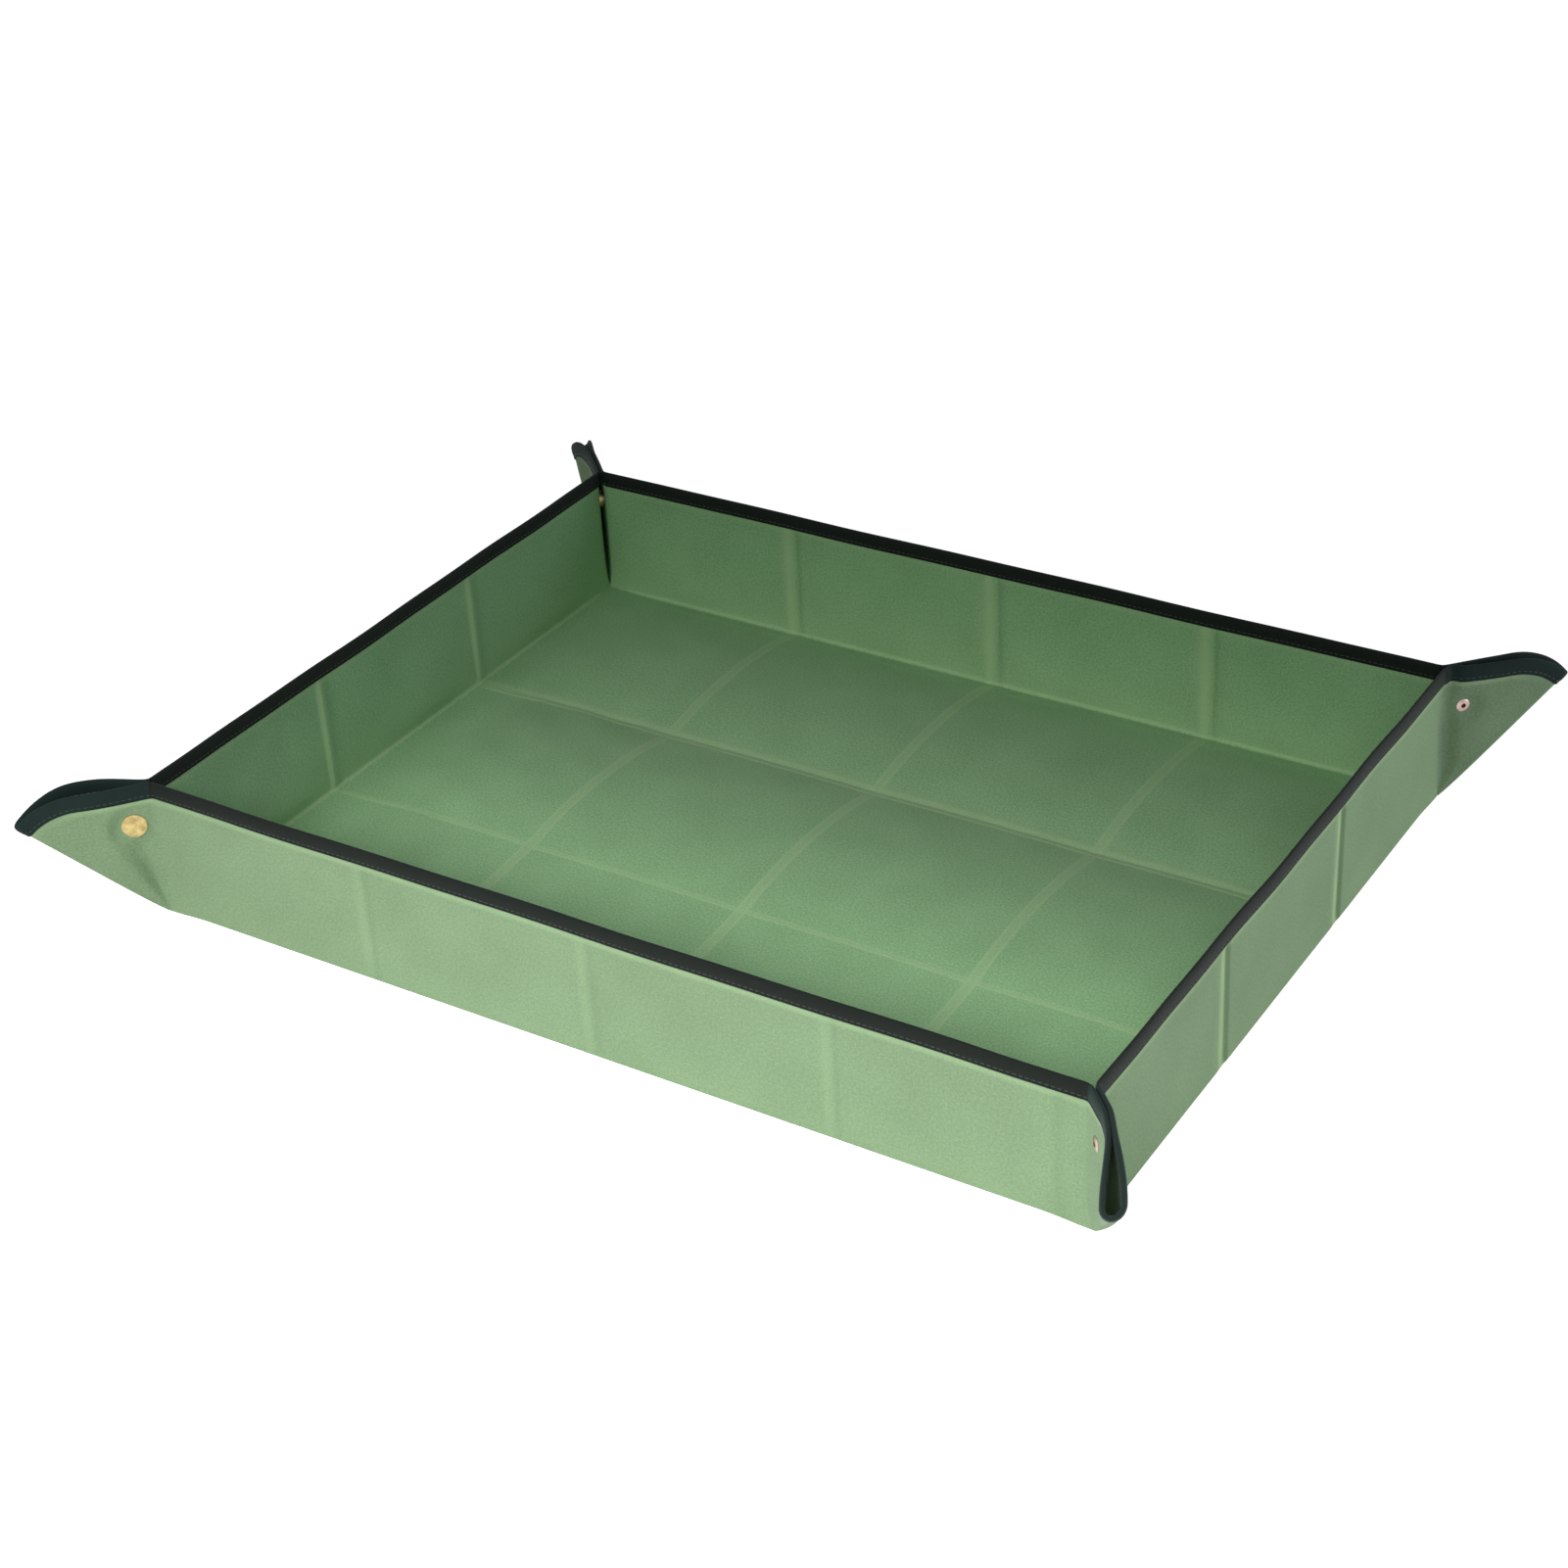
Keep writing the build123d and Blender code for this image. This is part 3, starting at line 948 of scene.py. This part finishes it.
def patches(add, vector, scale, detail):
    """Noise stretched to the whole range from 0 to 1."""
    return scaled(add, noise(add, vector, scale, detail), 0.0, 1.0, *NOISE_SPAN)


def weave(add, vector, pitch):
    """Plain weave: a crossed pair of waves."""
    parts = add("SeparateXYZ", {"Vector": vector})
    waves = [
        math_node(add, "SINE", math_node(add, "MULTIPLY", parts.outputs[axis], 2 * math.pi / pitch))
        for axis in ("X", "Y")
    ]
    return math_node(add, "MULTIPLY", *waves)


def flat_place(add):
    """Place on the flat cut, which the grain of the cloth follows."""
    return add("Attribute", attribute_name="flat").outputs["Vector"]


def mark_of(add, name):
    """Value of a mark on a piece."""
    return add("Attribute", attribute_name=name).outputs["Fac"]


def seen_directly(add):
    """1 for the rays that show the surroundings: from the camera, off metal and through glass."""
    path = add("LightPath").outputs
    seen = math_node(add, "ADD", path["Is Camera Ray"], path["Is Glossy Ray"])
    return math_node(add, "MINIMUM", math_node(add, "ADD", seen, path["Is Transmission Ray"]), 1.0)


def cloth_material():
    """Matt coated cloth with a fine grain, paler along its creases from wear and painted highlight, with dark
    lines of painted shade.
    """
    material, shader, add = new_material("coated_cloth")
    flat = flat_place(add)
    speck = patches(add, flat, *SPECKS)
    mottled = shared(add, patches(add, flat, *CLOUDS), speck, CLOUD_SHARE)
    inside = colour_mix(add, *CLOTH_INSIDE, mottled)
    outside = colour_mix(add, *CLOTH_OUTSIDE, mottled)
    # Inside and outside colours differ partly by painted light, set against how the lamps fall on each side.
    base = colour_mix(add, outside, inside, mark_of(add, "inside"))
    # The groove mark paints shade: dark lines beside creases and beside the front wall's end fold.
    with_painted_shade = colour_mix(add, base, CLOTH_PAINTED_SHADE, mark_of(add, "groove"))
    wear = scaled(add, noise(add, flat, *WEAR), *WORN_SPAN)
    # The crease mark paints pale lines, partly wear and partly painted highlight.
    pale_wear_and_highlight = math_node(add, "MULTIPLY", mark_of(add, "crease"), wear)
    open_cloth = colour_mix(add, with_painted_shade, CLOTH_WEAR_AND_HIGHLIGHT, pale_wear_and_highlight)
    colour = colour_mix(add, open_cloth, TAPE_EAR[0], mark_of(add, "bound"))
    dress(shader, colour, scaled(add, speck, *CLOTH_ROUGH), CLOTH_FINISH)
    woven = math_node(add, "MULTIPLY", weave(add, flat, CLOTH_WEAVE), CLOTH_WEAVE_SHARE)
    add_relief(add, shader, math_node(add, "ADD", woven, speck), CLOTH_RELIEF)
    return material


def tape_material():
    """Woven binding tape, charcoal along the walls and a shade greener round the ears."""
    material, shader, add = new_material("binding_tape")
    flat = flat_place(add)
    fuzz = patches(add, flat, *FUZZ)
    ribs = scaled(add, weave(add, flat, TAPE_WEAVE), 0.0, 1.0, -1.0)
    woven = shared(add, ribs, fuzz, TAPE_WEAVE_SHARE)
    plain = colour_mix(add, *TAPE_PLAIN, woven)
    green = colour_mix(add, *TAPE_EAR, woven)
    colour = colour_mix(add, plain, green, mark_of(add, "ear"))
    dress(shader, colour, scaled(add, fuzz, *TAPE_ROUGH), TAPE_FINISH)
    add_relief(add, shader, woven, TAPE_RELIEF)
    return material


def thread_material():
    """Twisted sewing thread."""
    material, shader, add = new_material("sewing_thread")
    twist = noise(add, add("TexCoord").outputs["Object"], *TWIST)
    dress(shader, colour_mix(add, *THREAD, twist), scaled(add, twist, *THREAD_ROUGH), {})
    return material


def metal_material(name, colours, rough):
    """Pressed metal with a cloudy tarnish and fine scratches."""
    material, shader, add = new_material(name)
    where = add("TexCoord").outputs["Object"]
    scratch = noise(add, where, *SCRATCHES)
    colour = colour_mix(add, *colours, patches(add, where, *TARNISH))
    dress(shader, colour, scaled(add, scratch, *rough), METAL_FINISH)
    add_relief(add, shader, scratch, METAL_RELIEF)
    return material


def stage_material():
    """White floor that the camera sees as white, with the object's shadow on it."""
    material, _, add = new_material("stage_white")
    bounce = add("BsdfDiffuse", {"Color": STAGE_GREY})
    glow = add("Emission", {"Color": WHITE, "Strength": STAGE_GLOW})
    white = add("AddShader", {0: bounce.outputs[0], 1: glow.outputs[0]})
    mixed = add("MixShader", {0: seen_directly(add), 1: bounce.outputs[0], 2: white.outputs[0]})
    output = material.node_tree.nodes["Material Output"]
    fill(output.inputs["Surface"], mixed.outputs[0])
    return material


cloth = cloth_material()
tape = tape_material()
thread = thread_material()
brass = metal_material("brass", BRASS, BRASS_ROUGH)
plated = metal_material("plated_metal", PLATED, PLATED_ROUGH)


# Pieces

def floor_piece():
    """Floor with its arched bands and its grid of creases."""
    x, y = np.meshgrid(
        grid_lines(HALF_LENGTH, crease_places(PANELS_LONG)),
        grid_lines(HALF_WIDTH, crease_places(PANELS_WIDE)),
        indexing="ij",
    )
    points = floor_surface(x, y)
    normals = normals_of(floor_surface, x, y)
    _, pale_wear_and_highlight = floor_creases(points[..., 0], points[..., 1])
    marks = {"flat": np.stack([x, y, 0 * x], axis=-1), "crease": pale_wear_and_highlight, "groove": 0 * x, "bound": 0 * x}
    piece = sheet_piece("floor_cloth", points, normals, cloth, marks, inside=1)
    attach(piece, "floor")
    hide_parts("floor_panel")


def wall_marks(wall, place, climb, height):
    """Marks on a wall: flat cut, pale lines of wear and painted highlight, dark lines of painted shade, and
    what the binding covers.
    """
    outward, along = wall_axes(wall)
    developed = height + (HALF_WIDTH if wall in LONG_WALLS else HALF_LENGTH)
    flat = along * place[..., None] + outward * developed[..., None]
    signed = nearest(place, wall_creases(wall))
    # Pale lines are partly wear and partly painted highlight.
    crease = spot(signed, WALL_CREASES[wall]["pale"])
    # The groove mark is painted shade beside each crease, and beside the front wall's end fold below.
    groove = spot(signed, WALL_CREASES[wall]["dark"])
    if wall == "front":
        groove = groove + spot(place - HALF_LENGTH + END_FOLD_FROM_CORNER, END_FOLD_PAINTED_SHADE)
    # The base line is partly wear and partly painted highlight; the hem line is a pale line below the
    # binding.
    base_line = spot(climb, (BASE_LINE_CLIMB, BASE_LINE_WIDTH, BASE_LINE[wall]))
    hem_line = spot(SHEET_TOP - height - TAPE_WIDTH, HEM_LINE)
    pale_wear_and_highlight = np.maximum(np.maximum(crease, base_line), hem_line)
    return {"flat": flat, "crease": pale_wear_and_highlight, "groove": groove, "bound": bound_mark(SHEET_TOP - height)}


def wall_sheet(wall):
    """Cloth of a wall."""
    reach = wall_reach(wall)
    surface = wall_surface(wall)
    lines = grid_lines(reach, wall_creases(wall))
    lines = np.concatenate([[-reach - CORNER_LIP], lines, [reach + CORNER_LIP]])
    place, climb = np.meshgrid(lines, graded(CLIMB_STEPS), indexing="ij")
    within = np.clip(place, -reach + CORNER_LIP_INSET, reach - CORNER_LIP_INSET)
    normals = normals_of(surface, within, climb, second_step=SHARE_NUDGE)
    height, _ = wall_height(place, climb, reach)
    marks = wall_marks(wall, place, climb, height)
    return sheet_piece(f"{wall}_wall_cloth", surface(place, climb), normals, cloth, marks, inside=-1)


def wall_stations(reach):
    """Places along a wall's binding, closer together at its ends."""
    even = np.linspace(-reach, reach, round(2 * reach / TAPE_STEP) + 1)
    ends = reach - np.arange(1, TAPE_END_STEPS + 1) * TAPE_END_STEP
    return np.sort(np.concatenate([even, ends, -ends]))


def wall_pieces(wall):
    """Sheet, binding and stitches of a wall."""
    reach = wall_reach(wall)
    piece = wall_sheet(wall)
    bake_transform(piece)
    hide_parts(f"{wall}_wall")

    below = wall_edge_surface(wall)
    stations = wall_stations(reach)
    tape_strip = tape_piece(f"{wall}_binding_tape", below, stations, NUDGE, tape, ear=0.0)
    stitches = stitch_piece(f"{wall}_stitching", below, stations, NUDGE, thread)
    for part in (tape_strip, stitches):
        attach(part, f"{wall}_side")
    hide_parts(f"{wall}_binding")


def ear_marks(corner, wall, angle, ray, depth):
    """Marks on an ear half: flat cut, a pale line below the binding, and what the binding covers."""
    sx, sy = CORNERS[corner]
    swing = angle if wall in LONG_WALLS else 2 * FOLD_ANGLE - angle
    flat_x = sx * (HALF_LENGTH + ray * np.sin(swing))
    flat_y = sy * (HALF_WIDTH + ray * np.cos(swing))
    flat = np.stack([flat_x, flat_y, 0 * ray], axis=-1)
    hem_line = spot(depth - TAPE_WIDTH, HEM_LINE)
    return {"flat": flat, "crease": hem_line, "groove": 0 * ray, "bound": bound_mark(depth)}


def ear_sheet(corner, wall):
    """Cloth of an ear half, and the points of its middle."""
    shape = ear_shape(corner, wall)
    surface = ear_surface(corner, wall)
    _, inner_axis = ear_axes(corner, wall)
    share, part_way = np.meshgrid(graded(EAR_STEPS), np.linspace(0, 1, EAR_ROWS), indexing="ij")
    edge, slant = ear_edge(share, shape)
    ray = FIRST_RAY + (edge - FIRST_RAY) * part_way
    points = surface(share, ray)
    normals = normals_of(surface, share, ray, first_step=SHARE_NUDGE)
    angle, _ = ear_section(share, ray, shape)
    marks = ear_marks(corner, wall, angle, ray, (edge - ray) / slant)
    toward_middle = np.sign(np.sum(normals * inner_axis, axis=-1)).mean()
    piece = sheet_piece(f"{corner}_ear_{wall}_cloth", points, normals, cloth, marks, inside=toward_middle)
    if EYELET_HALF[corner] == wall:
        low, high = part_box(f"{corner}_eyelet")
        cut_hole(piece, (np.array(low) + np.array(high)) / 2, inner_axis, HOLE_RADIUS)
    return piece, points


def ear_pieces(corner, wall):
    """Sheet, binding and stitches of half an ear."""
    body = f"{corner}_ear_{wall}"
    piece, points = ear_sheet(corner, wall)
    below = ear_edge_surface(corner, wall)
    stations = graded(EAR_TAPE_STEPS)
    tape_strip = tape_piece(f"{body}_binding_tape", below, stations, SHARE_NUDGE, tape, ear=1.0)
    stitches = stitch_piece(f"{body}_stitching", below, stations, SHARE_NUDGE, thread)
    for part, slot in ((piece, "coated_cloth"), (tape_strip, "binding_tape"), (stitches, "binding_tape")):
        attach(part, body)
        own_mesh(part)
    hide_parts(f"{corner}_ear_half_{wall}")
    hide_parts(f"{corner}_ear_binding_{wall}")


floor_piece()
for wall in OUTWARD:
    wall_pieces(wall)
for corner in CORNERS:
    for wall in corner.split("_"):
        ear_pieces(corner, wall)

METALS = {"cap": brass, "socket": brass, "stud": plated, "eyelet": plated}
for corner in CORNERS:
    for kind, material in METALS.items():
        node = frame["nodes"][f"{corner}_{kind}"]
        node.data.materials.clear()
        node.data.materials.append(material)


# Stage, light and camera

def stage_floor():
    """White floor under the tray."""
    corners = [(x * STAGE_HALF, y * STAGE_HALF, 0) for x, y in ((-1, -1), (1, -1), (1, 1), (-1, 1))]
    mesh = bpy.data.meshes.new("stage_floor")
    mesh.from_pydata(corners, [], [(0, 1, 2, 3)])
    mesh.materials.append(stage_material())
    stage = add_object("stage_floor", mesh)


def stand(thing, right, up, back, place):
    """Puts an object at a place, turned to three axes."""
    axes = np.stack([right, up, back], axis=-1)
    thing.matrix_world = Matrix([[*axes[i], place[i]] for i in range(3)] + [[0, 0, 0, 1]])


def lamp(name, place, target, size, power, spread=math.pi, tint=WHITE[:3]):
    """Soft light of a width and height, aimed at a point."""
    light = bpy.data.lights.new(name, "AREA")
    light.shape = "RECTANGLE"
    light.size, light.size_y = size
    light.energy = power
    light.spread = spread
    light.color = tint
    place, target = np.array(place), np.array(target)
    back = (place - target) / np.linalg.norm(place - target)
    right = np.cross(UP, back)
    right /= np.linalg.norm(right)
    stand(add_object(name, light), right, np.cross(back, right), back, place)


def camera():
    """Camera at the photograph's angle."""
    data = bpy.data.cameras.new("camera")
    data.sensor_width = VIEW_SENSOR
    data.lens = VIEW_LENS
    sine, cosine = math.sin(VIEW_AZIMUTH), math.cos(VIEW_AZIMUTH)
    level = math.cos(VIEW_ELEVATION)
    back = np.array([sine * level, -cosine * level, math.sin(VIEW_ELEVATION)])
    right = np.array([cosine, sine, 0.0])
    up = np.cross(back, right)
    rolled_right = right * math.cos(VIEW_ROLL) + up * math.sin(VIEW_ROLL)
    rolled_up = up * math.cos(VIEW_ROLL) - right * math.sin(VIEW_ROLL)
    place = back * VIEW_DISTANCE - rolled_right * VIEW_OFFSET[0] - rolled_up * VIEW_OFFSET[1]
    eye = add_object("camera", data)
    stand(eye, rolled_right, rolled_up, back, place)
    bpy.context.scene.camera = eye


def world_light(strength):
    """Even white light from all round, which shows as plain white."""
    world = bpy.data.worlds.new("world")
    world.use_nodes = True
    add = node_adder(world.node_tree)
    background = world.node_tree.nodes["Background"]
    fill(background.inputs["Color"], WHITE)
    fill(background.inputs["Strength"], scaled(add, seen_directly(add), strength, 1.0))
    bpy.context.scene.world = world


stage_floor()
lamp(
    "key", place=(0.16, -0.75, 0.515), target=(0.15, -0.40, 0.0),
    size=(1.25, 0.22), power=3.15, spread=math.radians(80),
)
lamp(
    "side_fill", place=(2.60, 2.20, 0.09), target=(0.31, 0.05, 0.045),
    size=(0.90, 0.16), power=36.0, tint=SIDE_TINT,
)
lamp(
    "low_fill", place=(1.30, 0.35, 0.22), target=(-0.31, 0.0, 0.05),
    size=(0.30, 0.10), power=1.9, tint=LOW_TINT,
)
world_light(WORLD_STRENGTH)
camera()
bpy.context.scene.view_settings.view_transform = "Standard"
